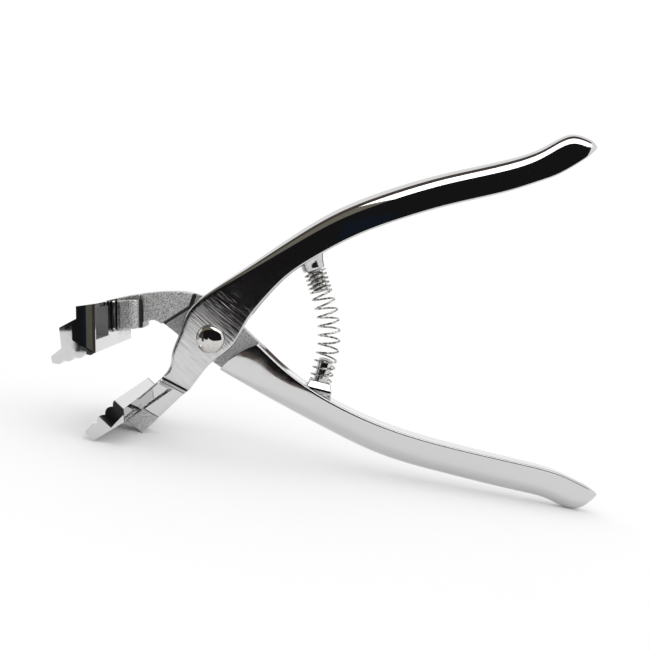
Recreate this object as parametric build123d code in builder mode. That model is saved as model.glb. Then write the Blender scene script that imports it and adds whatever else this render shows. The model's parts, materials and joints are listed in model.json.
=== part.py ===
from build123d import *
from math import asin, cos, hypot, radians, sin
import os

os.makedirs("parts", exist_ok=True)

# The tool stands on the nose of its lower jaw, its push lug and the tip of its lower handle.
# Everything is drawn in the tool plane: the pivot is its origin, x runs towards the handles,
# y up, and its normal points to the side that carries the domed rivet head.
STANCE = 10.46
PIVOT_X = -50.35
PIVOT_Z = 39.07
TOOL = Plane(
    origin=(PIVOT_X, 0, PIVOT_Z),
    x_dir=(cos(radians(STANCE)), 0, sin(radians(STANCE))),
    z_dir=(0, -1, 0),
)

# Jaws
JAW_WIDTH = 60.0
TOOTH_PITCH = 3.85
TOOTH_DEPTH = 1.1
UPPER_GRIP_ANGLE = 16.1
LOWER_GRIP_ANGLE = 46.1
FLANGE = 4.2
WALL = 1.5
COVE_RADIUS = 7.3
COVE_DEPTH = 1.2
COVE_INSET = 3.4
POCKET_DEPTH = 4.0

# Levers
HUB_FACE = 6.5
ARM_FACE = 5.0
WEB_FACE = 3.4
HANDLE_TIP_FACE = 3.6
LAP_GAP = 0.1
LAP_RADIUS = 14.0
LAP_CLEARANCE = 0.4
EDGE_ROUND = 1.2
TIP_ROUND = 3.0
UPPER_HANDLE_ANGLE = 24.0
LOWER_HANDLE_ANGLE = -22.0
HANDLE_REACH = 158.0

# Rivet
SHANK_RADIUS = 3.0
RUNNING_FIT = 0.05
DOME_RADIUS = 5.2
DOME_HEIGHT = 2.7
DOME_LIFT = 0.1
DOME_EDGE = 0.4
BACK_HEAD_HEIGHT = 1.6

# Return spring and its two studs
COIL_RADIUS = 3.35
WIRE_RADIUS = 0.33
CLOSE_STEP = 1.6
OPEN_STEP = 3.6
FOOT_STEP = 2.6
END_CLEARANCE = 0.6
UPPER_LEG = 12.0
LOWER_LEG = 8.0
SPRING_BOW_RADIUS = 39.7
SPRING_BOW_ANGLE = 32.0
UPPER_STUD = (36.7, 28.3)
UPPER_STUD_ANGLE = -72.5
LOWER_STUD = (39.1, -19.6)
LOWER_STUD_ANGLE = 75.5
STUD_RADIUS = 2.3
SEAT_RADIUS = 4.1
STUD_LENGTH = 12.0
SEAT_HEIGHT = 3.6
STUD_SINK = 2.5


def along(start, angle, distance, rise=0.0):
    """The point at a distance from start in a direction, and to the left of it by rise."""
    a = radians(angle)
    return (
        start[0] + distance * cos(a) - rise * sin(a),
        start[1] + distance * sin(a) + rise * cos(a),
    )


def side_plane(point, angle):
    """A plane square to the tool plane, through point, whose normal runs at the angle."""
    a = radians(angle)
    direction = TOOL.x_dir * cos(a) + TOOL.y_dir * sin(a)
    return Plane(
        origin=TOOL.from_local_coords(Vector(point[0], point[1], 0)),
        x_dir=TOOL.z_dir,
        z_dir=direction,
    )


def tooth_points(crest, angle, count, side):
    """Crests and valleys of a row of teeth, from the rear crest towards the nose."""
    points = []
    for i in range(count):
        points.append(along(crest, angle, -i * TOOTH_PITCH))
        points.append(along(crest, angle, -(i + 0.5) * TOOTH_PITCH, side * TOOTH_DEPTH))
    return points


def plan_plane(angle):
    """A plane through the pivot, square to the tool plane, with its x axis at the angle."""
    a = radians(angle)
    return Plane(
        origin=TOOL.origin,
        x_dir=TOOL.x_dir * cos(a) + TOOL.y_dir * sin(a),
        z_dir=TOOL.y_dir * cos(a) - TOOL.x_dir * sin(a),
    )


def handle_plan(angle):
    """Plan of a handle: full hub thickness at the pivot, thinning in one long arc to the tip."""
    middle = HANDLE_REACH / 2
    middle_face = HUB_FACE - (HUB_FACE - HANDLE_TIP_FACE) / 4
    with BuildSketch(plan_plane(angle)) as plan:
        with BuildLine():
            for side in (1, -1):
                ThreePointArc(
                    (-middle, side * middle_face),
                    (0, side * HUB_FACE),
                    (HANDLE_REACH, side * HANDLE_TIP_FACE),
                )
            Line((-middle, middle_face), (-middle, -middle_face))
            Line((HANDLE_REACH, HANDLE_TIP_FACE), (HANDLE_REACH, -HANDLE_TIP_FACE))
        make_face()
    return plan.sketch


def rim_edges(part, side, reach):
    """Edges round a lever's near (side 1) or far (side -1) face, at least reach from the pivot."""
    found = []
    for edge in part.edges():
        middle = TOOL.to_local_coords(edge @ 0.5)
        if side * middle.Z > HANDLE_TIP_FACE - 0.2 and hypot(middle.X, middle.Y) > reach:
            found.append(edge)
    return found


def cove(foot, angle, length):
    """Hollow, cylindrical end of a jaw on both sides, square to its gripping face."""
    with BuildSketch(side_plane(foot, angle + 90)) as ends:
        for side in (1, -1):
            with Locations((side * (JAW_WIDTH / 2 + COVE_RADIUS - COVE_DEPTH), 0)):
                Circle(COVE_RADIUS)
    return extrude(ends.sketch, amount=length, mode=Mode.PRIVATE)


def pockets(mouth, angle, height, depth):
    """Pair of cast pockets, one each side of an arm, sunk in the back of a jaw at the angle."""
    inside = ARM_FACE + 1.0
    width = JAW_WIDTH / 2 - WALL - inside
    rise = height / 2 if abs(angle) == 180 else -height / 2
    with BuildSketch(side_plane(mouth, angle)) as windows:
        for side in (1, -1):
            with Locations((side * (inside + width / 2), rise)):
                RectangleRounded(width, height, min(1.5, height / 3))
    return extrude(windows.sketch, amount=depth, mode=Mode.PRIVATE)


def root_flare(corner, angle, height):
    """Web that widens an arm where it runs into a jaw, hollow on both sides in plan."""
    a = radians(angle)
    plan = Plane(
        origin=TOOL.from_local_coords(Vector(corner[0], corner[1], 0)),
        x_dir=TOOL.x_dir * cos(a) + TOOL.y_dir * sin(a),
        z_dir=TOOL.y_dir * cos(a) - TOOL.x_dir * sin(a),
    )
    with BuildSketch(plan) as flare:
        with BuildLine():
            for side in (1, -1):
                ThreePointArc(
                    (3.5, side * (ARM_FACE + 5.0)),
                    (6.3, side * (ARM_FACE + 1.5)),
                    (13.5, side * (ARM_FACE - 0.2)),
                )
                Line((0, side * (ARM_FACE + 5.0)), (3.5, side * (ARM_FACE + 5.0)))
            Line((0, ARM_FACE + 5.0), (0, -ARM_FACE - 5.0))
            Line((13.5, ARM_FACE - 0.2), (13.5, 0.2 - ARM_FACE))
        make_face()
    return extrude(flare.sketch, amount=height, mode=Mode.PRIVATE)


# --- Spring studs -------------------------------------------------------------------------

with BuildPart() as upper_spring_stud:
    with BuildSketch(side_plane(UPPER_STUD, UPPER_STUD_ANGLE).offset(-STUD_SINK)):
        Circle(5.0)
    with BuildSketch(side_plane(UPPER_STUD, UPPER_STUD_ANGLE).offset(SEAT_HEIGHT)):
        Circle(SEAT_RADIUS)
    loft()
    with BuildSketch(side_plane(UPPER_STUD, UPPER_STUD_ANGLE).offset(SEAT_HEIGHT)):
        Circle(STUD_RADIUS)
    extrude(amount=STUD_LENGTH - SEAT_HEIGHT)
    tip = upper_spring_stud.edges().filter_by(GeomType.CIRCLE).sort_by(Axis.Z)[0]
    fillet(tip, radius=1.0)
upper_spring_stud.part.label = "upper_spring_stud"

with BuildPart() as lower_spring_stud:
    with BuildSketch(side_plane(LOWER_STUD, LOWER_STUD_ANGLE).offset(-STUD_SINK)):
        Rectangle(9.4, 12.4)
    with BuildSketch(side_plane(LOWER_STUD, LOWER_STUD_ANGLE).offset(SEAT_HEIGHT)):
        Rectangle(7.0, 7.4)
    loft()
    with BuildSketch(side_plane(LOWER_STUD, LOWER_STUD_ANGLE).offset(SEAT_HEIGHT)):
        Circle(STUD_RADIUS)
    extrude(amount=STUD_LENGTH - SEAT_HEIGHT)
    tip = lower_spring_stud.edges().filter_by(GeomType.CIRCLE).sort_by(Axis.Z)[-1]
    fillet(tip, radius=1.0)
lower_spring_stud.part.label = "lower_spring_stud"

# --- Lower jaw lever: lower jaw, near half of the lap joint, upper handle ------------------

UPPER_HANDLE_START = (-1.8, 16.2)
UPPER_HANDLE_TIP = (141.0, 68.9)

with BuildSketch() as upper_handle_outline:
    with BuildLine():
        Line(UPPER_HANDLE_START, (31.0, 38.3))
        Spline(
            (31.0, 38.3),
            (45.5, 46.8),
            (63.6, 54.0),
            (85.2, 60.2),
            (108.0, 65.2),
            (120.7, 69.4),
            (127.5, 73.2),
            (132.6, 74.3),
            (137.4, 72.4),
            UPPER_HANDLE_TIP,
            tangents=((0.83, 0.56), (0.7, -0.71)),
        )
        Spline(
            UPPER_HANDLE_TIP,
            (133.5, 63.6),
            (126.0, 59.3),
            (115.2, 55.4),
            (85.2, 47.9),
            (63.6, 41.5),
            (42.4, 32.0),
            (25.0, 20.0),
            (12.5, 4.9),
            tangents=((-0.8, -0.55), (-0.5, -0.86)),
        )
        Polyline((12.5, 4.9), (0.0, 0.0), UPPER_HANDLE_START)
    make_face()
    handle_tip = upper_handle_outline.vertices().sort_by(Axis.X)[-1]
    fillet(handle_tip, radius=TIP_ROUND)

with BuildSketch() as near_hub_outline:
    with BuildLine():
        ThreePointArc(UPPER_HANDLE_START, (-8.6, 9.4), (-11.8, 1.0))
        Line((-11.8, 1.0), (-14.2, -5.5))
        ThreePointArc((-14.2, -5.5), (-14.9, -10.5), (-18.2, -14.4))
        Polyline((-18.2, -14.4), (-8.9, -19.4), (-1.6, -10.2), (0.3, -8.7))
        ThreePointArc((0.3, -8.7), (7.7, -3.5), (12.5, 4.9))
        Polyline((12.5, 4.9), (15.0, 16.0), UPPER_HANDLE_START)
    make_face()

LOWER_CREST = (-30.0, -19.0)
LUG_TOP = (-31.8, -30.3)
LUG_CORNER = (-25.6, -35.0)
lower_flange_foot = along(LOWER_CREST, LOWER_GRIP_ANGLE, 0, -FLANGE)

with BuildSketch() as lower_jaw_outline:
    with BuildLine():
        Polyline(
            *tooth_points(LOWER_CREST, LOWER_GRIP_ANGLE, 4, -1),
            (-40.1, -29.7),
            (-37.5, -32.9),
            (-26.6, -26.3),
            lower_flange_foot,
            LOWER_CREST,
        )
    make_face()
    nose = lower_jaw_outline.vertices().sort_by(Axis.Y)[0]
    fillet(nose, radius=1.2)

with BuildSketch() as lower_arm_outline:
    with BuildLine():
        Polyline(
            (-14.9, -10.5),
            (-18.2, -14.4),
            lower_flange_foot,
            (-33.0, -27.0),
            LUG_TOP,
            (-16.1, -19.4),
            (-8.7, -19.6),
            (-3.5, -12.8),
            close=True,
        )
    make_face()

with BuildSketch() as lug_outline:
    with BuildLine():
        Polyline(
            LUG_TOP,
            LUG_CORNER,
            (-11.0, -21.1),
            (-8.7, -19.4),
            (-11.5, -16.2),
            (-16.1, -19.4),
            close=True,
        )
    make_face()

with BuildPart() as lower_jaw_lever:
    with BuildSketch(TOOL.offset(LAP_GAP / 2)):
        add(upper_handle_outline.sketch)
        add(near_hub_outline.sketch)
    extrude(amount=HUB_FACE)
    with BuildSketch(TOOL.offset(-HUB_FACE)):
        add(upper_handle_outline.sketch)
        Circle(LAP_RADIUS + LAP_CLEARANCE, mode=Mode.SUBTRACT)
    extrude(amount=HUB_FACE + LAP_GAP / 2)
    plan = extrude(handle_plan(UPPER_HANDLE_ANGLE), amount=80, both=True, mode=Mode.PRIVATE)
    add(plan, mode=Mode.INTERSECT)
    fillet(rim_edges(lower_jaw_lever, 1, 0), radius=EDGE_ROUND)
    fillet(rim_edges(lower_jaw_lever, -1, LAP_RADIUS + 3), radius=EDGE_ROUND)

    # arm with its thinner web, the push lug, and the wide jaw
    with BuildSketch(TOOL.offset(-WEB_FACE)):
        add(lower_arm_outline.sketch)
    extrude(amount=2 * WEB_FACE)
    with BuildSketch(TOOL.offset(-ARM_FACE)):
        add(lug_outline.sketch)
    extrude(amount=2 * ARM_FACE)
    with BuildSketch(TOOL.offset(-JAW_WIDTH / 2)):
        add(lower_jaw_outline.sketch)
    extrude(amount=JAW_WIDTH)

    # hollows at the ends and behind the gripping flange
    foot = along(LOWER_CREST, LOWER_GRIP_ANGLE, -COVE_INSET, -5.6)
    add(cove(foot, LOWER_GRIP_ANGLE, 9.0), mode=Mode.SUBTRACT)
    mouth = along(LOWER_CREST, LOWER_GRIP_ANGLE, 1.0, -FLANGE - 1.0)
    add(pockets(mouth, LOWER_GRIP_ANGLE + 180, 1.8, 6.5), mode=Mode.SUBTRACT)
    root = along(lower_flange_foot, LOWER_GRIP_ANGLE, -4.5, -1.2)
    add(root_flare(root, LOWER_GRIP_ANGLE, 2.6), mode=Mode.ADD)

    # bore for the rivet, and the seat of the upper stud
    with BuildSketch(TOOL.offset(-HUB_FACE)):
        Circle(SHANK_RADIUS + RUNNING_FIT)
    extrude(amount=2 * HUB_FACE + 1, mode=Mode.SUBTRACT)
    add(upper_spring_stud.part, mode=Mode.SUBTRACT)
lower_jaw_lever.part.label = "lower_jaw_lever"

# --- Upper jaw lever: upper jaw, far half of the lap joint, lower handle ---------------------

LOWER_HANDLE_TIP = (142.6, -58.0)
LOWER_HANDLE_HOOK = (134.0, -64.3)
LOWER_HANDLE_HEEL = (3.2, -11.3)
LOWER_HANDLE_TOE = (17.4, -2.0)
STOP_ANGLE = 97.6

with BuildSketch() as lower_handle_outline:
    with BuildLine():
        Spline(
            LOWER_HANDLE_TOE,
            (24.2, -8.9),
            (43.4, -22.6),
            (63.2, -32.2),
            (85.1, -39.2),
            (114.2, -46.2),
            (130.5, -51.0),
            LOWER_HANDLE_TIP,
            tangents=((0.7, -0.71), (0.87, -0.5)),
        )
        ThreePointArc(LOWER_HANDLE_TIP, (139.2, -62.4), LOWER_HANDLE_HOOK)
        Spline(
            LOWER_HANDLE_HOOK,
            (126.0, -61.2),
            (114.4, -57.8),
            (85.2, -50.6),
            (61.8, -43.5),
            (39.9, -32.7),
            (20.5, -21.9),
            LOWER_HANDLE_HEEL,
            tangents=((-0.98, 0.2), (-0.84, 0.54)),
        )
        ThreePointArc(LOWER_HANDLE_HEEL, (10.0, -5.4), LOWER_HANDLE_TOE)
    make_face()
    handle_tip = lower_handle_outline.vertices().sort_by(Axis.X)[-1]
    fillet(handle_tip, radius=2.4)

with BuildSketch() as far_hub_outline:
    with BuildLine():
        ThreePointArc(
            along((0, 0), STOP_ANGLE, LAP_RADIUS),
            along((0, 0), 45, LAP_RADIUS),
            along((0, 0), -4, LAP_RADIUS),
        )
        Polyline(
            along((0, 0), -4, LAP_RADIUS),
            LOWER_HANDLE_TOE,
            (22.0, -12.0),
            (16.0, -16.0),
            LOWER_HANDLE_HEEL,
            (0.0, -9.3),
            (-18.3, 5.4),
            (-19.5, 16.6),
            (-9.5, 17.1),
            along((0, 0), STOP_ANGLE, 16.2),
            along((0, 0), STOP_ANGLE, LAP_RADIUS),
        )
    make_face()

with BuildSketch() as upper_arm_outline:
    with BuildLine():
        Polyline(
            (-37.5, 14.2),
            (-28.0, 15.9),
            (-14.6, 17.1),
            (-9.5, 17.1),
            (-5.5, 16.7),
            (-7.0, 12.2),
            (-17.4, 5.9),
            (-18.3, 5.4),
            (-20.8, 6.9),
            (-22.6, 6.2),
            (-27.0, 4.3),
            (-37.5, 2.0),
            close=True,
        )
    make_face()

UPPER_CREST = (-37.2, -3.3)
UPPER_REAR = -36.3
with BuildSketch() as upper_jaw_outline:
    with BuildLine():
        Polyline(
            (UPPER_REAR, 13.9),
            (UPPER_REAR, -2.7),
            *tooth_points(UPPER_CREST, UPPER_GRIP_ANGLE, 3, 1),
            along(UPPER_CREST, UPPER_GRIP_ANGLE, -3 * TOOTH_PITCH),
            (-50.5, -6.1),
            (-51.0, -3.9),
            (-47.4, -1.0),
            (-48.0, 5.9),
            (-42.4, 8.9),
            (-42.4, 13.1),
            (UPPER_REAR, 13.9),
        )
    make_face()

with BuildPart() as upper_jaw_lever:
    with BuildSketch(TOOL.offset(-HUB_FACE)):
        add(lower_handle_outline.sketch)
    extrude(amount=2 * HUB_FACE)
    with BuildSketch(TOOL.offset(-HUB_FACE)):
        add(far_hub_outline.sketch)
    extrude(amount=HUB_FACE - LAP_GAP / 2)
    plan = extrude(handle_plan(LOWER_HANDLE_ANGLE), amount=80, both=True, mode=Mode.PRIVATE)
    add(plan, mode=Mode.INTERSECT)
    fillet(rim_edges(upper_jaw_lever, 1, 0), radius=EDGE_ROUND)
    fillet(rim_edges(upper_jaw_lever, -1, 0), radius=EDGE_ROUND)

    # arm and wide jaw
    with BuildSketch(TOOL.offset(-ARM_FACE)):
        add(upper_arm_outline.sketch)
    extrude(amount=2 * ARM_FACE)
    with BuildSketch(TOOL.offset(-JAW_WIDTH / 2)):
        add(upper_jaw_outline.sketch)
    extrude(amount=JAW_WIDTH)

    # hollows at the ends and at the back
    foot = along(UPPER_CREST, UPPER_GRIP_ANGLE, -COVE_INSET, 2.6)
    add(cove(foot, UPPER_GRIP_ANGLE, 24.0), mode=Mode.SUBTRACT)
    mouth = (UPPER_REAR + 1.0, 1.4)
    add(pockets(mouth, 180, 11.0, POCKET_DEPTH + 1.0), mode=Mode.SUBTRACT)
    add(root_flare((UPPER_REAR - POCKET_DEPTH - 0.5, 2.4), 0, 10.0), mode=Mode.ADD)

    # hole for the rivet, and the seat of the lower stud
    with BuildSketch(TOOL.offset(-HUB_FACE)):
        Circle(SHANK_RADIUS)
    extrude(amount=HUB_FACE, mode=Mode.SUBTRACT)
    add(lower_spring_stud.part, mode=Mode.SUBTRACT)
upper_jaw_lever.part.label = "upper_jaw_lever"

# --- Pivot rivet ------------------------------------------------------------------------------

DOME_FOOT = HUB_FACE + DOME_LIFT
dome_rise = DOME_HEIGHT - DOME_EDGE
dome_curve = (DOME_RADIUS**2 + dome_rise**2) / (2 * dome_rise)
dome_centre = DOME_FOOT + DOME_HEIGHT - dome_curve
dome_half = asin(DOME_RADIUS / dome_curve) / 2

with BuildPart() as pivot_rivet:
    with BuildSketch(Plane(origin=TOOL.origin, x_dir=TOOL.x_dir, z_dir=-TOOL.y_dir)):
        with BuildLine():
            Line((0, -HUB_FACE - BACK_HEAD_HEIGHT), (4.2, -HUB_FACE - BACK_HEAD_HEIGHT))
            ThreePointArc(
                (4.2, -HUB_FACE - BACK_HEAD_HEIGHT),
                (4.9, -HUB_FACE - BACK_HEAD_HEIGHT / 2),
                (4.9, -HUB_FACE),
            )
            Polyline(
                (4.9, -HUB_FACE),
                (SHANK_RADIUS, -HUB_FACE),
                (SHANK_RADIUS, DOME_FOOT),
                (DOME_RADIUS, DOME_FOOT),
                (DOME_RADIUS, DOME_FOOT + DOME_EDGE),
            )
            ThreePointArc(
                (DOME_RADIUS, DOME_FOOT + DOME_EDGE),
                (dome_curve * sin(dome_half), dome_centre + dome_curve * cos(dome_half)),
                (0, DOME_FOOT + DOME_HEIGHT),
            )
            Line((0, DOME_FOOT + DOME_HEIGHT), (0, -HUB_FACE - BACK_HEAD_HEIGHT))
        make_face()
    revolve(axis=Axis(TOOL.origin, TOOL.z_dir))
pivot_rivet.part.label = "pivot_rivet"

# --- Return spring: half turns of wire round the line that the two studs hold bowed -----------

TURNS = 5 * [CLOSE_STEP] + 7 * [OPEN_STEP] + 3 * [FOOT_STEP]

with BuildLine() as spring_line:
    upper_leg = PolarLine(along(UPPER_STUD, UPPER_STUD_ANGLE, SEAT_HEIGHT), UPPER_LEG, UPPER_STUD_ANGLE)
    bow = JernArc(upper_leg @ 1, upper_leg % 1, SPRING_BOW_RADIUS, -SPRING_BOW_ANGLE)
    PolarLine(bow @ 1, LOWER_LEG, LOWER_STUD_ANGLE - 180)

with BuildPart() as return_spring:
    with BuildLine() as coil:
        reach = END_CLEARANCE
        for step in TURNS:
            corners = []
            for travel, side in ((0, 1), (step / 2, -1), (step, 1)):
                centre = spring_line.wires()[0].position_at(reach + travel, PositionMode.LENGTH)
                tangent = spring_line.wires()[0].tangent_at(reach + travel, PositionMode.LENGTH)
                corners.append(centre + Vector(-tangent.Y, tangent.X, 0) * side * COIL_RADIUS)
            for start, end, bulge in ((0, 1, COIL_RADIUS), (1, 2, -COIL_RADIUS)):
                crown = (corners[start] + corners[end]) / 2 + Vector(0, 0, bulge)
                turn = (corners[start], crown, corners[end])
                ThreePointArc(*[TOOL.from_local_coords(point) for point in turn])
            reach += step
    with BuildSketch(Plane(origin=coil.line @ 0, z_dir=coil.line % 0)):
        Circle(WIRE_RADIUS)
    sweep(path=coil.line)
return_spring.part.label = "return_spring"

for piece in (
    upper_jaw_lever,
    lower_jaw_lever,
    pivot_rivet,
    upper_spring_stud,
    lower_spring_stud,
    return_spring,
):
    export_step(piece.part, f"parts/{piece.part.label}.step")
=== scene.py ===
"""Wide-jaw spring pliers: the looks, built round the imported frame."""

import json
from functools import reduce
from math import cos, hypot, pi, radians, sin

import bmesh
import bpy
import numpy as np
from mathutils import Matrix, Vector


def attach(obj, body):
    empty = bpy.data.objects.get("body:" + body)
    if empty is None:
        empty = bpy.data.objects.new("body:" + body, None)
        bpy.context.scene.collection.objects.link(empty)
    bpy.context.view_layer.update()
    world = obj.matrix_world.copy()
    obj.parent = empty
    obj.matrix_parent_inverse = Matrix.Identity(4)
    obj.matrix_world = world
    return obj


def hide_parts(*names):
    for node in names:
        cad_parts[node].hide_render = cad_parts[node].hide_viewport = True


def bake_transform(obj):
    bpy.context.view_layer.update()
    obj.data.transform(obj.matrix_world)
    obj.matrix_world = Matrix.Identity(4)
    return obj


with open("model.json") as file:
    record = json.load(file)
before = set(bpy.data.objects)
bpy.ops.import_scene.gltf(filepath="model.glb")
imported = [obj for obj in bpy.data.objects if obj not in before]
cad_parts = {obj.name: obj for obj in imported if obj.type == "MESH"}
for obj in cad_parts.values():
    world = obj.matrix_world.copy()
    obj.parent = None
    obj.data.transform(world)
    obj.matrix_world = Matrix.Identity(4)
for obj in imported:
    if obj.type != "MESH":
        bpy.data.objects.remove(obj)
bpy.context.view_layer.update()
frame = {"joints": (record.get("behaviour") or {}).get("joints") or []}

# Shapes are drawn in millimetres in the tool plane: the pivot is its origin, x runs towards
# the handles, y up, and depth towards the side with the domed rivet head.
STANCE = radians(10.46)
MM = 0.001
PIVOT = Vector(frame["joints"][0]["pos_m"])
TOOL = Matrix.Translation(PIVOT) @ Matrix.Rotation(-STANCE, 4, "Y") @ Matrix(
    ((MM, 0, 0, 0), (0, 0, -MM, 0), (0, MM, 0, 0), (0, 0, 0, 1))
)


def place(x, y, depth=0.0):
    """The row-frame point, in metres, of a point in the tool plane."""
    return TOOL @ Vector((x, y, depth))


def along(start, angle, distance, rise=0.0):
    """The point at a distance from start in a direction, and to the left of it by rise."""
    a = radians(angle)
    return (
        start[0] + distance * cos(a) - rise * sin(a),
        start[1] + distance * sin(a) + rise * cos(a),
    )


# --- Sizes, in millimetres and degrees --------------------------------------------------------

HUB = 6.5
LAP_GAP = 0.1
LAP_RADIUS = 14.4
CUT_REACH = 12
BORE_RADIUS = 3.05
JAW_HALF = 30.0
TOOTH_PITCH = 3.85
TOOTH_DEPTH = 1.1
TOOTH_COUNT = 3
ARM_FACE = 5.0
WEB_FACE = 3.4
UPPER_CREST, UPPER_ANGLE = (-37.2, -3.3), 16.1
LOWER_CREST, LOWER_ANGLE = (-30.0, -19.0), 46.1
UPPER_REAR = -36.3
FLANGE_FOOT = along(LOWER_CREST, LOWER_ANGLE, 0, -4.2)
POCKET_NEAR, POCKET_FAR = 9.4, 27.3


# --- Camera -----------------------------------------------------------------------------------

EYE = (41.7, 29.4, 333.0)
AIM = (41.7, 4.6, 0.0)
SENSOR = 36.0
LENS = 49.9


def make_camera():
    data = bpy.data.cameras.new("camera")
    data.sensor_width = SENSOR
    data.lens = LENS
    camera = bpy.data.objects.new("camera", data)
    bpy.context.scene.collection.objects.link(camera)
    eye, aim = place(*EYE), place(*AIM)
    back = (eye - aim).normalized()
    right = (place(1, 0) - place(0, 0)).normalized()
    up = back.cross(right)
    turn = Matrix((right, up, back)).transposed()
    camera.matrix_world = Matrix.Translation(eye) @ turn.to_4x4()
    data.clip_start = 0.01
    data.clip_end = 20
    bpy.context.scene.camera = camera


# --- Material nodes ---------------------------------------------------------------------------


class Nodes:
    """A material's node tree with short calls for the nodes that the finishes share."""

    def __init__(self, name):
        self.material = bpy.data.materials.new(name)
        self.material.use_nodes = True
        self.tree = self.material.node_tree
        self.shader = self.tree.nodes["Principled BSDF"]

    def add(self, kind, inputs=(), **settings):
        made = self.tree.nodes.new(kind)
        for key, value in settings.items():
            setattr(made, key, value)
        for socket, value in dict(inputs).items():
            self.put(made.inputs[socket], value)
        return made

    def put(self, socket, value):
        if isinstance(value, bpy.types.NodeSocket):
            self.tree.links.new(value, socket)
        else:
            socket.default_value = value

    def math(self, operation, a, b=0.0):
        return self.add("ShaderNodeMath", {0: a, 1: b}, operation=operation).outputs[0]

    def rise(self, value, low, high):
        """0 below low, 1 above high, smooth between them; low may be the larger."""
        inputs = {"Value": value, "From Min": low, "From Max": high}
        made = self.add("ShaderNodeMapRange", inputs, interpolation_type="SMOOTHSTEP")
        return made.outputs["Result"]

    def between(self, value, low, high, blur):
        """1 between low and high, 0 outside, over a margin of blur inside each end."""
        return self.all_of(self.rise(value, low, low + blur), self.rise(value, high, high - blur))

    def all_of(self, *shares):
        return reduce(lambda a, b: self.math("MULTIPLY", a, b), shares)

    def any_of(self, *shares):
        return reduce(lambda a, b: self.math("MAXIMUM", a, b), shares)

    def run(self, x, y, direction):
        """x and y added in the direction's shares; it grows as a point moves that way."""
        first = self.math("MULTIPLY", x, direction[0])
        return self.math("ADD", first, self.math("MULTIPLY", y, direction[1]))

    def mix(self, share, a, b):
        kind = "RGBA" if isinstance(a, tuple) or isinstance(b, tuple) else "FLOAT"
        made = self.add("ShaderNodeMix", data_type=kind)
        first, second, out = (6, 7, 2) if kind == "RGBA" else (2, 3, 0)
        self.put(made.inputs[0], share)
        self.put(made.inputs[first], a)
        self.put(made.inputs[second], b)
        return made.outputs[out]

    def tool_space(self):
        """Millimetres in the tool plane at rest, as a vector socket."""
        where = self.add("ShaderNodeTexCoord").outputs["Object"]
        shift = {"Vector": where, "Location": -PIVOT}
        moved = self.add("ShaderNodeMapping", shift, vector_type="POINT").outputs[0]
        turn = {"Vector": moved, "Rotation": (0, STANCE, 0), "Scale": (1 / MM,) * 3}
        turned = self.add("ShaderNodeMapping", turn, vector_type="POINT").outputs[0]
        return turned

    def noise(self, vector, scale, detail=2.0, stretch=None, angle=0.0):
        """Noise; stretch scales its axes after a turn by angle in the tool plane."""
        if stretch:
            turned = self.add(
                "ShaderNodeMapping", {"Vector": vector, "Rotation": (0, angle, 0)}
            ).outputs[0]
            vector = self.add(
                "ShaderNodeMapping", {"Vector": turned, "Scale": stretch}
            ).outputs[0]
        inputs = {"Vector": vector, "Scale": scale, "Detail": detail}
        return self.add("ShaderNodeTexNoise", inputs).outputs["Fac"]

    def bump(self, height, distance, strength=1.0):
        inputs = {"Height": height, "Distance": distance, "Strength": strength}
        self.put(self.shader.inputs["Normal"], self.add("ShaderNodeBump", inputs).outputs[0])

    def metal(self, color, roughness):
        self.put(self.shader.inputs["Base Color"], color)
        self.shader.inputs["Metallic"].default_value = 1.0
        self.put(self.shader.inputs["Roughness"], roughness)
        return self.material


CHROME = (0.62, 0.62, 0.63, 1)
CAST_LOW = (0.31, 0.345, 0.335, 1)
CAST_HIGH = (0.76, 0.81, 0.79, 1)
# Painted shade: a near-black colour laid into creases, hollows and step lines in place of dark
# reflections.
PAINTED_SHADE_BLACK = (0.014, 0.012, 0.013, 1)
DULL_BROWN = (0.7, 0.52, 0.5, 1)
BRUSH_ANGLE = radians(-42)


def lever_finish(name, satin_of, cast_of, shade_of):
    """Bright chrome, with brushed satin, grainy cast plating and painted shade (dark colour standing
    in for dark reflections in hollows) where the three functions say. The last one gives a share and
    a colour."""
    n = Nodes(name)
    tool = n.tool_space()
    axes = n.add("ShaderNodeSeparateXYZ", {0: tool}).outputs
    x, depth, y = axes[0], n.math("MULTIPLY", axes[1], -1.0), axes[2]
    satin = satin_of(n, x, y, depth)
    cast = cast_of(n, x, y, depth)
    shade, dark = shade_of(n, x, y, depth)
    brush = n.noise(tool, 1.0, 4.0, (0.1, 0.6, 2.3), BRUSH_ANGLE)
    grain = n.noise(tool, 2.3, 4.0)
    blotch = n.noise(tool, 0.35, 2.0)
    mirror = n.mix(n.rise(blotch, 0.3, 0.8), 0.035, 0.075)
    brushed = n.mix(n.rise(brush, 0.35, 0.7), 0.07, 0.13)
    roughness = n.mix(satin, mirror, brushed)
    roughness = n.mix(cast, roughness, n.mix(grain, 0.25, 0.5))
    roughness = n.mix(shade, roughness, 0.4)
    lines = n.math("MULTIPLY", satin, n.rise(brush, 0.45, 0.7))
    speckle = n.mix(n.rise(grain, 0.34, 0.62), CAST_LOW, CAST_HIGH)
    color = n.mix(lines, CHROME, (0.54, 0.56, 0.57, 1))
    color = n.mix(cast, color, speckle)
    # Painted shade: the shade share turns the colour dark where dark reflections would be.
    color = n.mix(shade, color, dark)
    height = n.math("MULTIPLY", n.math("MULTIPLY", brush, satin), 0.03 * MM)
    rough_cast = n.math("MULTIPLY", n.math("MULTIPLY", grain, cast), 0.45 * MM)
    n.bump(n.math("ADD", height, rough_cast), 1.0)
    return n.metal(color, roughness)


# Directions in the tool plane, as shares of x and y, that the finishes are laid out along.
UPPER_HANDLE_WAY = (0.83, 0.56)
LOWER_HANDLE_WAY = (0.8, -0.6)
STEP_WAY = (-0.47, -0.88)
LUG_WAY = (0.6, 1.0)
FLANGE_WAY = (0.693, 0.721)
SHOULDER_WAY = (-0.53, 0.848)
NOTCH_WAY = (-0.951, 0.31)

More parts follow.
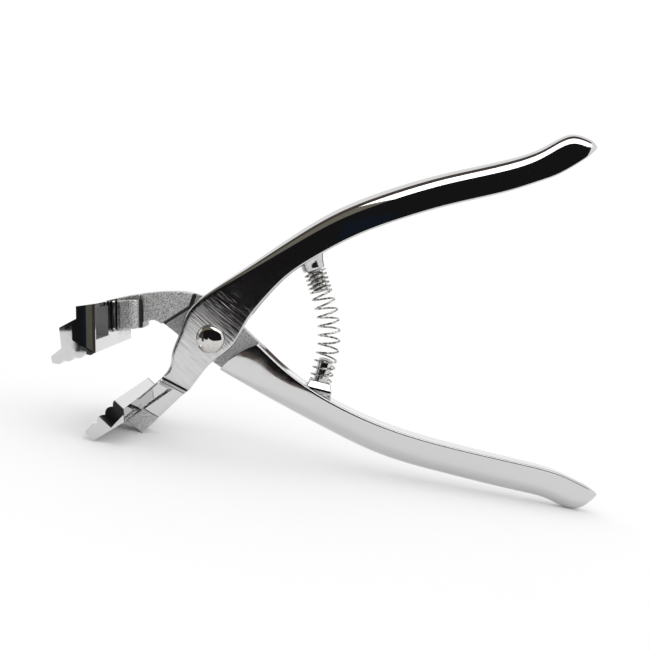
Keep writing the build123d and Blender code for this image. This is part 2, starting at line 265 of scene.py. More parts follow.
LUG_GRAIN = 0.45
ROOT_GRAIN = 0.7
# How dark the painted shade is in the lower jaw's hollows, behind the arm's root and along the lap
# recess.
HOLLOW_SHADE = 0.97
TAIL_SHADE = 0.95
RECESS_SHADE = 0.85


def near_satin(n, x, y, depth):
    """The near lever's flat hub face above the step, fading into the polished handle."""
    fade = n.rise(n.run(x, y, UPPER_HANDLE_WAY), 54.0, 24.0)
    above = n.rise(n.run(x, y, STEP_WAY), 20.5, 19.9)
    return n.all_of(fade, n.rise(depth, 5.4, 6.1), n.rise(depth, 7.4, 7.0), above)


def near_cast(n, x, y, depth):
    """The push lug's sides keep some of the grain of the casting."""
    out = n.math("ABSOLUTE", depth)
    lug = n.all_of(n.rise(n.run(x, y, LUG_WAY), -40.5, -41.0), n.rise(x, -8.0, -11.0))
    return n.all_of(lug, n.rise(out, 4.3, 4.8), n.rise(out, 5.6, 5.2), LUG_GRAIN)


def near_shade(n, x, y, depth):
    """Painted shade: two dark lines down the step below the hub, and dark hollows at the lower
    jaw's ends, both standing in for reflections of dark surroundings.
    """
    step = n.run(x, y, STEP_WAY)
    lines = n.any_of(n.between(step, 20.4, 21.5, 0.15), n.between(step, 22.3, 22.65, 0.1))
    lines = n.all_of(lines, n.rise(depth, 3.6, 4.0), n.rise(depth, 7.4, 7.0))
    ends = n.between(n.math("ABSOLUTE", depth), 28.6, 29.85, 0.08)
    hollow = n.all_of(ends, n.between(n.run(x, y, FLANGE_WAY), -41.9, -34.1, 0.2), HOLLOW_SHADE)
    return n.any_of(lines, hollow), PAINTED_SHADE_BLACK


def far_satin(n, x, y, depth):
    """The far lever's hub is brushed on its outer face only."""
    return n.all_of(n.rise(n.run(x, y, LOWER_HANDLE_WAY), 46.0, 16.0), n.rise(depth, -5.4, -6.1))


def far_cast(n, x, y, depth):
    """The upper arm, its root and the lap recess keep the grain of the casting."""
    out = n.math("ABSOLUTE", depth)
    open_side = n.any_of(n.rise(depth, 0.5, 0.2), n.rise(x, -5.5, -6.5))
    hub = n.all_of(n.rise(x, -25.4, -24.9), n.rise(x, 20.0, 18.0), n.rise(out, 5.7, 5.4))
    root = n.all_of(n.rise(x, -34.2, -33.4), n.rise(x, -25.4, -26.0), n.rise(out, 9.6, 9.2))
    return n.any_of(n.all_of(hub, open_side), n.all_of(root, ROOT_GRAIN))


def root_painted_shade(n, x, depth):
    """Painted shade: upright dark bands before and behind the swelling at the arm's root."""
    out = n.math("ABSOLUTE", depth)
    bands = n.any_of(n.between(x, -36.3, -35.2, 0.15), n.between(x, -34.7, -33.7, 0.2))
    front = n.all_of(bands, n.between(out, 4.9, 9.3, 0.1))
    tail = n.all_of(n.between(x, -26.1, -24.3, 0.3), n.between(out, 4.9, 7.5, 0.1))
    return n.any_of(front, n.all_of(tail, TAIL_SHADE))


def recess_painted_shade(n, x, y, depth):
    """Painted shade: a dark line along the shoulder that bounds the lap recess."""
    shoulder = n.between(n.run(x, y, SHOULDER_WAY), 13.3, 14.5, 0.2)
    slope = n.all_of(shoulder, n.between(x, -19.0, -7.6, 0.2))
    notch = n.between(n.run(x, y, NOTCH_WAY), 10.2, 11.4, 0.2)
    upright = n.all_of(notch, n.rise(y, 11.2, 11.6))
    return n.all_of(n.any_of(slope, upright), n.rise(depth, -0.4, -0.2), RECESS_SHADE)


def far_shade(n, x, y, depth):
    """Painted shade: black creases at the arm's root and the lap recess, standing in for dark
    reflections, and the dull brown pockets behind the upper jaw."""
    inside = n.rise(n.math("ABSOLUTE", depth), 27.6, 27.4)
    pocket = n.all_of(n.between(x, -41.7, -36.35, 0.1), n.between(y, 1.4, 12.5, 0.1), inside)
    # Painted shade in the creases at the arm's root and along the lap recess.
    painted_crease_shade = n.any_of(root_painted_shade(n, x, depth), recess_painted_shade(n, x, y, depth))
    return n.any_of(painted_crease_shade, pocket), n.mix(pocket, PAINTED_SHADE_BLACK, DULL_BROWN)


def plain_metal(name, color, smooth, rough, scale=1.2, relief=0.0, dim=0.86):
    """Plated metal with a slowly varying polish, dimmed in patches and, where relief isn't 0,
    with a cast grain."""
    n = Nodes(name)
    share = n.rise(n.noise(n.tool_space(), scale, 3.0), 0.38, 0.62)
    n.bump(n.math("MULTIPLY", share, relief * MM), 1.0)
    dimmed = (*(dim * c for c in color[:3]), 1)
    return n.metal(n.mix(share, color, dimmed), n.mix(share, smooth, rough))


# --- Mesh helpers -----------------------------------------------------------------------------


def mesh_object(name, points, faces):
    """An object from points in the tool plane, in millimetres; its mesh is in the row frame."""
    mesh = bpy.data.meshes.new(name)
    mesh.from_pydata([TOOL @ Vector(p) for p in points], [], faces)
    made = bpy.data.objects.new(name, mesh)
    bpy.context.scene.collection.objects.link(made)
    solid = bmesh.new()
    solid.from_mesh(mesh)
    bmesh.ops.recalc_face_normals(solid, faces=solid.faces)
    solid.to_mesh(mesh)
    solid.free()
    return made


def between_loops(name, low, high):
    """A solid from two loops with as many points each, joined point by point."""
    count = len(low)
    sides = [(i, (i + 1) % count, (i + 1) % count + count, i + count) for i in range(count)]
    ends = [tuple(range(count)), tuple(range(2 * count - 1, count - 1, -1))]
    return mesh_object(name, [*low, *high], ends + sides)


def prism(name, outline, low, high):
    """The outline carried from depth low to depth high."""
    ends = [[(x, y, depth) for x, y in outline] for depth in (low, high)]
    return between_loops(name, *ends)


def arc_points(start, middle, end, steps=10):
    """Points on the circle through three points, from start to end, both included."""
    a, b, c = (complex(*p) for p in (start, middle, end))
    w = (c - a) / (b - a)
    centre = (b - a) * (w - abs(w) ** 2) / (2j * w.imag) + a
    turn_b = np.angle((b - centre) / (a - centre))
    turn_c = np.angle((c - centre) / (a - centre))
    if turn_b * turn_c < 0 or abs(turn_c) < abs(turn_b):
        turn_c += 2 * pi * np.sign(turn_b)
    found = [centre + (a - centre) * np.exp(1j * turn_c * i / steps) for i in range(steps + 1)]
    return [(p.real, p.imag) for p in found]


def apply_changes(piece):
    """Makes the piece's modifiers part of its mesh."""
    bpy.context.view_layer.update()
    depsgraph = bpy.context.evaluated_depsgraph_get()
    result = bpy.data.meshes.new_from_object(piece.evaluated_get(depsgraph))
    piece.modifiers.clear()
    piece.data = result
    return piece


def combine(target, tools, operation):
    """Joins or cuts the tools, one after another, and applies it to the target's mesh."""
    for tool in tools:
        change = target.modifiers.new(operation.lower(), "BOOLEAN")
        change.operation = operation
        change.solver = "EXACT"
        change.object = tool
    apply_changes(target)
    for tool in tools:
        bpy.data.objects.remove(tool)
    return target


def bevelled(piece, width, segments=2, limit=30):
    """Rounds every edge sharper than the limit, in degrees, by width in millimetres."""
    edge = piece.modifiers.new("edges", "BEVEL")
    edge.width = width * MM
    edge.segments = segments
    edge.limit_method = "ANGLE"
    edge.angle_limit = radians(limit)
    edge.miter_outer = "MITER_ARC"
    edge.use_clamp_overlap = True
    return apply_changes(piece)


FLAT_AREA = 3.0 * MM * MM


def smooth(piece, limit=35):
    """Smooth shading on the rounded parts; large flat faces stay flat right up to their edges."""
    piece.data.set_sharp_from_angle(angle=radians(limit))
    faces = piece.data.polygons
    faces.foreach_set("use_smooth", [face.area < FLAT_AREA for face in faces])
    return piece


def dress(piece, body, slot, material, *nodes):
    """Puts a finished piece on its body with its finish, in place of its CAD nodes."""
    piece.data.materials.clear()
    piece.data.materials.append(material)
    if body:
        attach(piece, body)
    if nodes:
        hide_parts(*nodes)
    return piece


def rows_through(rows, count):
    """Rows of numbers on the natural cubic curve through the given ones, evenly spaced."""
    rows = np.array(rows, float)
    middle = (rows[:, 0:2] + rows[:, 2:4]) / 2
    gaps = np.linalg.norm(np.diff(middle, axis=0), axis=1)
    knots = np.concatenate(([0], np.cumsum(gaps)))
    system, right = np.eye(len(rows)), np.zeros_like(rows)
    for i in range(1, len(rows) - 1):
        system[i, i - 1 : i + 2] = gaps[i - 1], 2 * (gaps[i - 1] + gaps[i]), gaps[i]
        right[i] = 6 * ((rows[i + 1] - rows[i]) / gaps[i] - (rows[i] - rows[i - 1]) / gaps[i - 1])
    bend = np.linalg.solve(system, right)
    t = np.linspace(0, knots[-1], count)
    k = np.clip(np.searchsorted(knots, t, side="right") - 1, 0, len(gaps) - 1)
    g = gaps[k][:, None]
    a, b = (knots[k + 1] - t)[:, None], (t - knots[k])[:, None]
    cubic = (bend[k] * a**3 + bend[k + 1] * b**3) / (6 * g)
    linear = (rows[k] / g - bend[k] * g / 6) * a + (rows[k + 1] / g - bend[k + 1] * g / 6) * b
    return cubic + linear


# --- Lever bars: handle, hub and arm as one run of cross-sections -------------------------------

RING_FACE = 5
RING_SIDE = 16
RING_ROUND = 14
RING_EDGE = 6
RING_BACK = 4
INNER_ROUND = 0.7


def half_ring(height, half, round_v, round_u, crown):
    """Half a cross-section from the inner face round to the middle of the back: (u, v) points.
    u is the half thickness, v runs from the inner edge, at 0, to the back, at height."""
    edge = min(INNER_ROUND, 0.3 * height, 0.3 * half)
    round_u = min(round_u, 0.94 * half)
    round_v = min(round_v, 0.68 * height)
    points = [(f * (half - crown - edge), 0.0) for f in np.linspace(0, 1, RING_FACE)]
    for a in np.linspace(0, pi / 2, RING_EDGE)[1:]:
        points.append((half - crown - edge + edge * sin(a), edge - edge * cos(a)))
    for s in np.linspace(0, 1, RING_SIDE)[1:]:
        points.append((half - crown * (1 - s) ** 2, edge + s * (height - round_v - edge)))
    for a in np.linspace(0, pi / 2, RING_ROUND)[1:]:
        points.append((half - round_u + round_u * cos(a), height - round_v + round_v * sin(a)))
    for f in np.linspace(1, 0, RING_BACK)[1:]:
        points.append((f * (half - round_u), height))
    return points


def lever_bar(name, sections, count=260):
    """A closed bar. Each section is back x, y, inner x, y, half thickness, the back's rounding
    along the section and through the thickness, and how far the side leans in at the inner edge."""
    points, ring = [], 0
    for bx, by, ix, iy, half, round_v, round_u, crown in rows_through(sections, count):
        height = hypot(bx - ix, by - iy)
        up = ((bx - ix) / height, (by - iy) / height)
        profile = half_ring(height, half, round_v, round_u, crown)
        loop = profile + [(-u, v) for u, v in profile[-2:0:-1]]
        ring = len(loop)
        points += [(ix + v * up[0], iy + v * up[1], u) for u, v in loop]
    faces = [
        (r * ring + i, r * ring + (i + 1) % ring, (r + 1) * ring + (i + 1) % ring, (r + 1) * ring + i)
        for r in range(count - 1)
        for i in range(ring)
    ]
    faces += [tuple(range(ring)), tuple(range((count - 1) * ring, count * ring))]
    return mesh_object(name, points, faces)


NEAR_SECTIONS = (
    (141.0, 69.6, 140.3, 68.6, 1.5, 0.6, 1.3, 0.05),
    (140.0, 71.0, 138.6, 67.1, 2.8, 2.4, 2.6, 0.1),
    (137.4, 72.8, 134.9, 64.4, 3.5, 4.4, 3.2, 0.1),
    (132.6, 74.3, 130.2, 61.5, 3.7, 4.8, 3.5, 0.08),
    (127.3, 73.0, 125.6, 59.1, 3.9, 5.0, 3.7, 0.06),
    (120.7, 69.4, 119.8, 57.0, 4.1, 5.1, 3.9, 0.06),
    (108.0, 65.2, 110.2, 53.9, 4.6, 5.3, 4.4, 0.06),
    (85.2, 60.2, 88.3, 48.7, 5.3, 5.5, 5.0, 0.06),
    (63.6, 54.0, 68.4, 43.0, 5.9, 5.7, 5.5, 0.08),
    (45.5, 46.8, 52.0, 36.8, 6.2, 5.6, 5.4, 0.1),
    (31.0, 38.3, 38.0, 29.4, 6.4, 5.0, 4.6, 0.14),
    (20.0, 30.9, 28.0, 22.7, 6.5, 4.0, 3.6, 0.18),
    (9.0, 23.5, 19.3, 13.9, 6.5, 2.8, 2.4, 0.18),
    (-1.8, 16.2, 12.5, 4.9, 6.5, 1.7, 1.4, 0.12),
    (-8.6, 9.4, 7.4, -3.2, 6.5, 1.2, 1.1, 0.06),
    (-11.8, 1.0, 0.3, -8.7, 6.5, 1.1, 1.0, 0.05),
    (-14.2, -5.5, -3.4, -12.7, 6.5, 1.1, 1.0, 0.05),
    (-15.4, -11.0, -6.4, -16.4, 6.5, 1.1, 1.0, 0.05),
    (-17.2, -13.4, -8.1, -18.4, 6.45, 1.1, 1.0, 0.05),
    (-17.9, -14.2, -8.8, -19.1, 6.1, 1.1, 1.0, 0.05),
    (-18.5, -14.8, -9.3, -19.7, 5.4, 1.0, 0.9, 0.05),
    (-19.3, -15.5, -10.0, -20.4, 5.1, 1.0, 0.9, 0.05),
    (-20.1, -16.3, -10.8, -21.1, 4.7, 1.0, 0.9, 0.05),
)
FAR_SECTIONS = (
    (141.6, -60.7, 143.3, -58.6, 2.2, 0.8, 1.9, 0.05),
    (139.6, -62.6, 141.9, -57.3, 3.1, 2.4, 2.7, 0.08),
    (134.0, -64.4, 137.3, -54.6, 3.5, 4.4, 3.2, 0.08),
    (126.0, -61.2, 129.2, -50.7, 3.8, 4.6, 3.6, 0.08),
    (114.4, -57.8, 117.4, -47.2, 4.1, 4.8, 3.9, 0.08),
    (85.2, -50.6, 88.6, -40.2, 5.1, 5.2, 4.8, 0.08),
    (61.8, -43.5, 66.2, -33.4, 5.7, 5.4, 5.3, 0.1),
    (39.9, -32.7, 46.0, -24.2, 6.1, 5.2, 4.8, 0.11),
    (20.5, -21.9, 31.0, -14.6, 6.3, 4.2, 3.8, 0.16),
    (11.0, -16.2, 24.0, -8.7, 6.4, 3.0, 2.6, 0.2),
    (3.2, -11.3, 17.2, -2.1, 6.5, 1.6, 1.4, 0.16),
    (-2.0, -7.6, 11.6, 3.4, 6.4, 1.2, 1.1, 0.1),
    (-8.0, -2.9, 5.6, 10.6, 5.9, 1.1, 1.0, 0.05),
    (-13.4, 1.5, -1.4, 14.4, 5.2, 1.1, 1.0, 0.05),
    (-18.3, 5.4, -9.5, 16.9, 5.0, 1.1, 1.0, 0.05),
    (-20.9, 6.7, -15.0, 17.2, 5.0, 0.9, 0.8, 0.05),
    (-26.8, 4.5, -25.4, 16.4, 5.0, 0.8, 0.7, 0.05),
    (-38.0, 2.2, -38.0, 14.0, 5.0, 0.8, 0.7, 0.05),
)


def lap_cutter(name, outline, side):
    """The half of the hub that the other lever fills, from the lap face outwards."""
    low, high = sorted((side * LAP_GAP / 2, side * CUT_REACH))
    return prism(name, outline, low, high)


# --- Jaws -------------------------------------------------------------------------------------

COVE_STEPS = 96
TOOTH_STEPS = 10


def teeth(crest, angle, side):
    """Rounded teeth from the rear crest towards the nose."""
    wave = []
    for i in range(TOOTH_COUNT * TOOTH_STEPS):
        dip = side * TOOTH_DEPTH * (1 - abs(cos(pi * i / TOOTH_STEPS)) ** 0.8)
        wave.append(along(crest, angle, -i * TOOTH_PITCH / TOOTH_STEPS, dip))
    return wave


def coves(name, foot, angle, length, radius, sink, slope=0.0):
    """Two upright cylinders that hollow the ends of a jaw; slope tilts their feet along it."""
    made = []
    for side in (1, -1):
        centre = side * (JAW_HALF + radius - sink)
        turns = [2 * pi * k / COVE_STEPS for k in range(COVE_STEPS)]
        rim = [(radius * cos(a), centre + radius * sin(a)) for a in turns]
        low = [(*along(foot, angle, run, slope * run), depth) for run, depth in rim]
        high = [(*along(foot, angle, run, length), depth) for run, depth in rim]
        made.append(between_loops(f"{name}{side}", low, high))
    return made


def slab(name, corner, along_x, along_y, low, high):
    """A block on a corner in the tool plane with two edge vectors, between two depths."""
    cx, cy = corner
    (ax, ay), (bx, by) = along_x, along_y
    outline = [(cx, cy), (cx + ax, cy + ay), (cx + ax + bx, cy + ay + by), (cx + bx, cy + by)]
    return prism(name, outline, low, high)


def upper_jaw():
    """The wide upper jaw with its teeth, hollow ends and pockets."""
    outline = [(UPPER_REAR, 13.9), (UPPER_REAR, -2.7)]
    outline += teeth(UPPER_CREST, UPPER_ANGLE, 1)
    outline += [
        along(UPPER_CREST, UPPER_ANGLE, -TOOTH_COUNT * TOOTH_PITCH),
        (-50.5, -6.1),
        (-51.0, -3.9),
        (-47.4, -1.0),
        (-48.0, 5.9),
        (-42.4, 8.9),
        (-42.4, 13.1),
    ]
    bar = prism("upper_jaw", outline, -JAW_HALF, JAW_HALF)
    foot = (UPPER_REAR, -2.9)
    cuts = coves("upper_cove", foot, 0, length=24.0, radius=15.4, sink=1.9, slope=-0.62)
    for side in (1, -1):
        low, high = sorted((side * POCKET_NEAR, side * POCKET_FAR))
        cuts.append(slab(f"pocket{side}", (UPPER_REAR + 1, 1.6), (-5.0, 0), (0, 10.8), low, high))
    combine(bar, cuts, "DIFFERENCE")
    return bevelled(bar, 0.35)


def arm_root():
    """The upright swelling on both sides of the upper arm, just behind the wide jaw."""
    plan = [(-37.5, 7.6), (-35.2, 6.8), (-33.6, 5.6)]
    turns = np.linspace(0.93 * pi, 0.06 * pi, 14)
    plan += [(-29.6 + 3.7 * cos(a), 5.6 + 2.4 * sin(a)) for a in turns]
    plan += [(-24.4, 4.6)]
    plan += [(x, -d) for x, d in plan[::-1]]
    low = [(x, 3.6 + 0.06 * (x + 30), d) for x, d in plan]
    high = [(x, 14.2 + 0.05 * (x + 30), d) for x, d in plan]
    return bevelled(between_loops("arm_root", low, high), 0.8, 4, 50)


def lower_jaw():
    """The wide lower jaw with its teeth, gripping flange and hollow ends."""
    outline = teeth(LOWER_CREST, LOWER_ANGLE, -1)
    outline += [along(LOWER_CREST, LOWER_ANGLE, -TOOTH_COUNT * TOOTH_PITCH)]
    outline += [(-40.1, -29.7), (-37.5, -32.9), (-26.6, -26.3), FLANGE_FOOT]
    bar = prism("lower_jaw", outline, -JAW_HALF, JAW_HALF)
    foot = along(LOWER_CREST, LOWER_ANGLE, -3.4, -5.6)
    cuts = coves("lower_cove", foot, LOWER_ANGLE, length=9.0, radius=7.3, sink=1.2)
    combine(bar, cuts, "DIFFERENCE")
    return bevelled(bar, 0.35)


def lower_arm():
    """The thin web below the near lever's hub, with the thicker push lug behind it."""
    web = [
        (-13.5, -9.5), (-18.2, -14.4), FLANGE_FOOT, (-33.0, -27.0), (-31.8, -30.3),
        (-16.1, -19.4), (-8.7, -19.6), (-3.5, -12.8),
    ]
    lug = [
        (-31.8, -30.3), (-25.6, -35.0), (-11.0, -21.1),
        (-8.7, -19.4), (-11.5, -16.2), (-16.1, -19.4),
    ]
    arm = bevelled(prism("lower_arm", web, -WEB_FACE, WEB_FACE), 0.7, 4)
    return combine(arm, [bevelled(prism("lug", lug, -ARM_FACE, ARM_FACE), 0.5, 3)], "UNION")


def near_lever():
    """Upper handle, near half of the lap joint and lower jaw."""
    bar = lever_bar("near_lever", NEAR_SECTIONS)
    turns = np.linspace(radians(21), radians(98), 16)
    outline = [(LAP_RADIUS * cos(a), LAP_RADIUS * sin(a)) for a in turns]
    outline += [(-6.0, 34.0), (-40.0, 30.0), (-40.0, -40.0), (24.0, -30.0)]
    profile = [(0, -CUT_REACH), (BORE_RADIUS, -CUT_REACH), (BORE_RADIUS, CUT_REACH), (0, CUT_REACH)]
    bore = lathe("bore", profile)
    combine(bar, [lap_cutter("near_lap", outline, -1), bore], "DIFFERENCE")
    return combine(bar, [lower_arm(), lower_jaw()], "UNION")


def far_lever():
    """Lower handle, far half of the lap joint, arm and upper jaw."""
    bar = lever_bar("far_lever", FAR_SECTIONS)
    shoulder = arc_points((17.4, -2.0), (10.0, -5.4), (3.2, -11.3), 14)
    outline = [(-18.3, 5.4), (-7.9, 11.9), (-6.4, 16.5), (-6.0, 34.0), (30.0, 24.0)]
    outline += [*shoulder, (-2.0, -26.0), (-32.0, -12.0)]
    bevelled(combine(bar, [lap_cutter("far_lap", outline, 1)], "DIFFERENCE"), 0.5, 4, 55)
    return combine(bar, [arm_root(), upper_jaw()], "UNION")


def lathe(name, profile, steps=96, at=(0.0, 0.0), angle=None):
    """A turned solid from (radius, height) points, whose ends lie on its axis. The axis stands
    on the tool plane, or lies in it at the angle, in degrees."""
    points, faces, rings = [], [], []
    for radius, lift in profile:
        count = 1 if radius == 0 else steps
        rings.append(list(range(len(points), len(points) + count)))
        for k in range(count):
            a = 2 * pi * k / steps
            if angle is None:
                points.append((at[0] + radius * cos(a), at[1] + radius * sin(a), lift))
            else:
                points.append((*along(at, angle, lift, radius * cos(a)), radius * sin(a)))
    for low, high in zip(rings, rings[1:]):
        for k in range(steps):
            after = k + 1
            face = (low[k % len(low)], low[after % len(low)])
            face += (high[after % len(high)], high[k % len(high)])
            faces.append(tuple(dict.fromkeys(face)))
    return mesh_object(name, points, faces)


# --- Rivet, studs and spring ------------------------------------------------------------------


def rivet():
    """Domed head on the near side, a low peened head on the far side."""
    radius, foot, rim, rise = 5.2, HUB + 0.1, 0.4, 2.7
    turns = np.linspace(0, pi / 2, 26)[1:-1]
    dome = [(radius * sin(a), foot + rim + (rise - rim) * cos(a)) for a in turns]
    dome = [(0, foot + rise), *dome, (radius, foot + rim)]
    neck = [(radius, foot + 0.15), (radius - 0.15, foot), (3.0, foot), (3.0, -HUB)]
    back = [(4.9, 0), (4.9, -0.7), (4.6, -1.25), (3.9, -1.6), (0, -1.7)]
    back = [(r, lift - HUB) for r, lift in back]
    return smooth(lathe("pivot_rivet_polished", [*dome, *neck, *back], 128), 50)


UPPER_STUD, UPPER_STUD_ANGLE = (36.7, 28.3), -72.5
LOWER_STUD, LOWER_STUD_ANGLE = (39.1, -19.6), 75.5
SEAT_HEIGHT = 3.6
STUD_LENGTH = 12.0
PEG = 2.7
PEG_END = [
    (PEG, STUD_LENGTH - 0.8),
    (PEG - 0.2, STUD_LENGTH - 0.3),
    (PEG - 0.8, STUD_LENGTH),
    (0, STUD_LENGTH),
]
# The lower boss: a height, half its width in the tool plane and half its width through it.
LOWER_BOSS = ((-2.5, 5.5, 4.9), (0.8, 4.9, 4.8), (3.0, 4.1, 3.6), (SEAT_HEIGHT, 3.8, 3.3))


def upper_stud():
    """A round boss that flares into the handle, a collar, and the peg inside the coil."""
    flare = [(4.2 + 1.5 * (1 - s) ** 2, -2.4 + 5.0 * s) for s in np.linspace(0, 1, 12)]
    top = [(4.15, 3.1), (3.85, 3.5), (3.4, 3.6), (2.9, 3.65), (PEG, 3.9)]
    profile = [(0, -2.4), *flare, *top, *PEG_END]
    return smooth(lathe("upper_stud_boss", profile, 64, UPPER_STUD, UPPER_STUD_ANGLE), 40)


def lower_stud():
    """A four-sided boss that narrows upwards, with a round peg."""
    corners = ((1, 1), (-1, 1), (-1, -1), (1, -1))
    points = []
    for lift, wide, deep in LOWER_BOSS:
        for u, w in corners:
            points.append((*along(LOWER_STUD, LOWER_STUD_ANGLE, lift, u * wide), w * deep))
    faces = [(3, 2, 1, 0), (12, 13, 14, 15)]
    for row in range(len(LOWER_BOSS) - 1):
        for k in range(4):
            a, b = row * 4 + k, row * 4 + (k + 1) % 4
            faces.append((a, b, b + 4, a + 4))
    boss = bevelled(mesh_object("lower_stud_boss", points, faces), 0.45, 3, 18)
    profile = [(0, 3.0), (PEG, 3.0), *PEG_END]
    peg = lathe("lower_peg", profile, 48, LOWER_STUD, LOWER_STUD_ANGLE)
    return smooth(combine(boss, [peg], "UNION"), 35)


COIL_RADIUS = 3.9
WIRE_RADIUS = 0.38
TURNS = 5 * [1.6] + 7 * [3.6] + 3 * [2.6]  # the pitch of each turn
END_CLEARANCE = 0.6
UPPER_LEG = 12.0
BOW_RADIUS = 39.7
BOW_ANGLE = 32.0


def spring_line(distance):
    """Point and direction, in degrees, on the spring's bowed middle line."""
    start = along(UPPER_STUD, UPPER_STUD_ANGLE, SEAT_HEIGHT)
    if distance < UPPER_LEG:
        return along(start, UPPER_STUD_ANGLE, distance), UPPER_STUD_ANGLE
    bow_start = along(start, UPPER_STUD_ANGLE, UPPER_LEG)
    centre = along(bow_start, UPPER_STUD_ANGLE - 90, BOW_RADIUS)
    turned = min((distance - UPPER_LEG) / BOW_RADIUS, radians(BOW_ANGLE))
    heading = UPPER_STUD_ANGLE - turned * 180 / pi
    point = along(centre, heading + 90, BOW_RADIUS)
    spare = distance - UPPER_LEG - turned * BOW_RADIUS
    return along(point, heading, spare), heading


def coil_path(steps=36):
    """Points along the middle of the wire, and how far down the spring's line it ends."""
    path, reach = [], END_CLEARANCE
    for pitch in TURNS:
        for k in range(steps):
            point, heading = spring_line(reach + pitch * k / steps)
            turn = 2 * pi * k / steps
            lift = COIL_RADIUS * cos(turn)
            path.append(Vector((*along(point, heading, 0, lift), COIL_RADIUS * sin(turn))))
        reach += pitch
    point, heading = spring_line(reach)
    path.append(Vector((*along(point, heading, 0, COIL_RADIUS), 0)))
    return path, reach


def return_spring(sides=12):
    """Round wire wound in close turns, open turns and three foot turns."""
    path, reach = coil_path()
    points, faces = [], []
    for i, p in enumerate(path):
        ahead = (path[min(i + 1, len(path) - 1)] - path[max(i - 1, 0)]).normalized()
        heading = spring_line(END_CLEARANCE + (reach - END_CLEARANCE) * i / len(path))[1]
        side = ahead.cross(Vector((*along((0, 0), heading, 1), 0))).normalized()
        other = ahead.cross(side)
        for k in range(sides):
            a = 2 * pi * k / sides
            points.append(p + (side * cos(a) + other * sin(a)) * WIRE_RADIUS)
    for i in range(len(path) - 1):
        for k in range(sides):
            a, b = i * sides + k, i * sides + (k + 1) % sides
            faces.append((a, b, b + sides, a + sides))
    last = (len(path) - 1) * sides
    faces += [tuple(range(sides)), tuple(range(last, last + sides))]
    return smooth(mesh_object("return_spring_wire", points, faces), 60)


# --- Stage and light --------------------------------------------------------------------------

FLOOR_HALF = 6.0
WORLD_STRENGTH = 1.06
FRONT, TOP, ROOF, RIDGE, BEHIND = 200, 168, 400, 158, -30
JAW_CARD, BACK = 60, -300
BLACK = (0.012, 0.011, 0.012)
BROWN = (0.09, 0.07, 0.062)

# Upright cards: a name, two x values, two y values, a depth and a colour.
FRONT_CARDS = (
    ("front_navy", (58, 92), (30, 52), FRONT - 5, (0.009, 0.013, 0.022)),
    ("left_olive", (-190, -165), (0, TOP), FRONT - 5, (0.13, 0.13, 0.1)),
    ("left_brown", (-260, -225), (0, TOP), FRONT - 5, (0.16, 0.13, 0.12)),
)
OTHER_CARDS = (
    ("back_dark", (-70, 62), (-20, 22), BACK, BROWN),
    ("jaw_brown", (-47, -40.5), (-14, 20), JAW_CARD, (0.05, 0.04, 0.036)),
    ("jaw_olive", (-40.5, -35.5), (-14, 20), JAW_CARD, (0.11, 0.115, 0.085)),
    ("jaw_navy", (-35.5, -31), (-14, 20), JAW_CARD, (0.011, 0.014, 0.024)),
    ("back_strip", (260, 420), (-60, 260), BACK, BLACK),
)


def emitter(name, corners, color, strength=1):
    """A card that only reflections see, from its corners in tool-plane millimetres."""
    card = mesh_object(name, corners, [tuple(range(len(corners)))])
    n = Nodes(name)
    n.shader.inputs["Base Color"].default_value = (0, 0, 0, 1)
    n.shader.inputs["Specular IOR Level"].default_value = 0
    n.shader.inputs["Emission Strength"].default_value = strength
    n.put(n.shader.inputs["Emission Color"], (*color, 1))
    card.data.materials.append(n.material)
    card.visible_camera = False
    card.visible_diffuse = False
    card.visible_shadow = False
    card.visible_transmission = False


def make_floor():
    """White paper with a faint unevenness."""
    data = bpy.data.meshes.new("floor")
    reach = FLOOR_HALF
    corners = [(-reach, -reach, 0), (reach, -reach, 0), (reach, reach, 0), (-reach, reach, 0)]
    data.from_pydata(corners, [], [(0, 1, 2, 3)])
    floor = bpy.data.objects.new("floor", data)
    bpy.context.scene.collection.objects.link(floor)
    n = Nodes("floor_paper")
    speck = n.noise(n.tool_space(), 0.02)
    paper = n.mix(speck, (0.96, 0.96, 0.96, 1), (0.98, 0.98, 0.98, 1))
    n.put(n.shader.inputs["Base Color"], paper)
    n.shader.inputs["Roughness"].default_value = 0.9
    data.materials.append(n.material)


def make_world():
    """An even white surround, bright enough for the paper to come out white."""
    world = bpy.data.worlds.new("studio")
    world.use_nodes = True
    background = world.node_tree.nodes["Background"]
    background.inputs["Color"].default_value = (1, 1, 1, 1)
    background.inputs["Strength"].default_value = WORLD_STRENGTH
    bpy.context.scene.world = world
    bpy.context.scene.view_settings.view_transform = "Standard"


def make_upright_cards(cards):
    """Cards parallel to the tool plane."""
    for name, x, y, depth, color in cards:
        corners = [(x[0], y[0]), (x[1], y[0]), (x[1], y[1]), (x[0], y[1])]
        emitter(name, [(*corner, depth) for corner in corners], color)


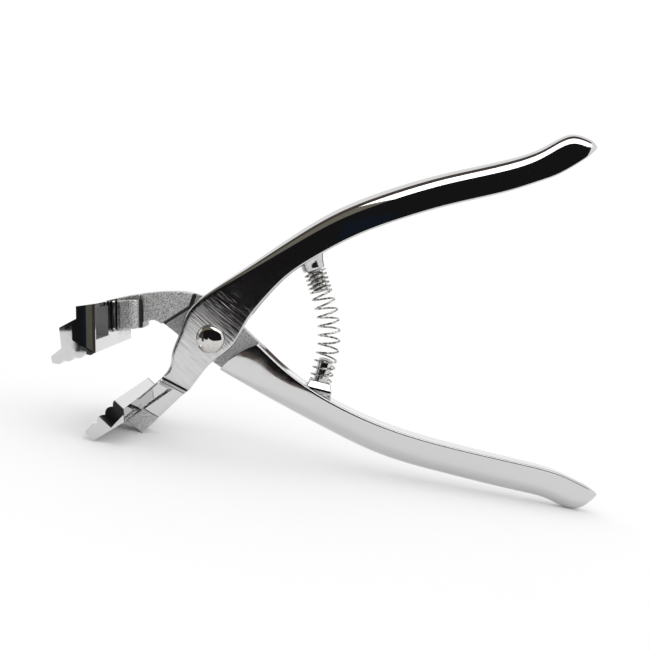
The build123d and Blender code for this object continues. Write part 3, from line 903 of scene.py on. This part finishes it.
def make_front_cards():
    """The dark wall in front of the tool, whose lower edge is the split seen on the hub, with
    a brown hem and three coloured patches."""
    wall = [
        (320, -45), (30, -33), (-9, -18), (-34, 1), (-42, 1), (-46, -20), (-90, -20),
        (-91, -9), (-112, -9), (-112, -17), (-420, 40), (-420, TOP), (320, TOP),
    ]
    hem = [
        (320, -45), (30, -33), (-9, -18), (-34, 1),
        (-37, -2), (-12, -22), (30, -37), (320, -50),
    ]
    emitter("front_dark", [(x, y, FRONT) for x, y in wall], BLACK)
    emitter("front_hem", [(x, y, FRONT) for x, y in hem], BROWN)
    make_upright_cards(FRONT_CARDS)


def make_roof_cards():
    """A slope over the tool, white towards the handles and olive towards the jaws, and the
    brown roof behind it."""
    white = [(60, TOP, FRONT), (420, TOP, FRONT), (420, ROOF, RIDGE), (-53, ROOF, RIDGE)]
    olive = [(-420, TOP, FRONT), (60, TOP, FRONT), (-53, ROOF, RIDGE), (-420, ROOF, RIDGE)]
    brown = [(-420, ROOF, RIDGE), (420, ROOF, RIDGE), (420, ROOF, BEHIND), (-420, ROOF, BEHIND)]
    emitter("top_light", white, (1, 1, 1), 3)
    emitter("top_olive", olive, (0.2, 0.19, 0.15))
    emitter("top_brown", brown, BROWN)


make_camera()
make_floor()
make_world()
make_front_cards()
make_roof_cards()
make_upright_cards(OTHER_CARDS)

near_metal = lever_finish("near_lever_chrome", near_satin, near_cast, near_shade)
far_metal = lever_finish("far_lever_chrome", far_satin, far_cast, far_shade)
dress(smooth(near_lever()), "near_lever", "lever_chrome", near_metal, "lower_jaw_lever")
dress(smooth(far_lever()), "far_lever", "lever_chrome", far_metal, "upper_jaw_lever")

mirror = plain_metal("rivet_mirror", (0.66, 0.64, 0.62, 1), 0.02, 0.05)
dress(rivet(), "far_lever", "rivet_chrome", mirror, "pivot_rivet")

cast_chrome = plain_metal("stud_plating", (0.62, 0.62, 0.62, 1), 0.06, 0.16, scale=0.5, relief=0.012)
dress(upper_stud(), "near_lever", "stud_chrome", cast_chrome, "upper_spring_stud")
dress(lower_stud(), "far_lever", "stud_chrome", cast_chrome, "lower_spring_stud")

wire = plain_metal("drawn_wire", (0.72, 0.71, 0.68, 1), 0.05, 0.14, scale=1.1, dim=0.16)
spring = dress(return_spring(), None, "spring_wire", wire, "return_spring")
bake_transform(spring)
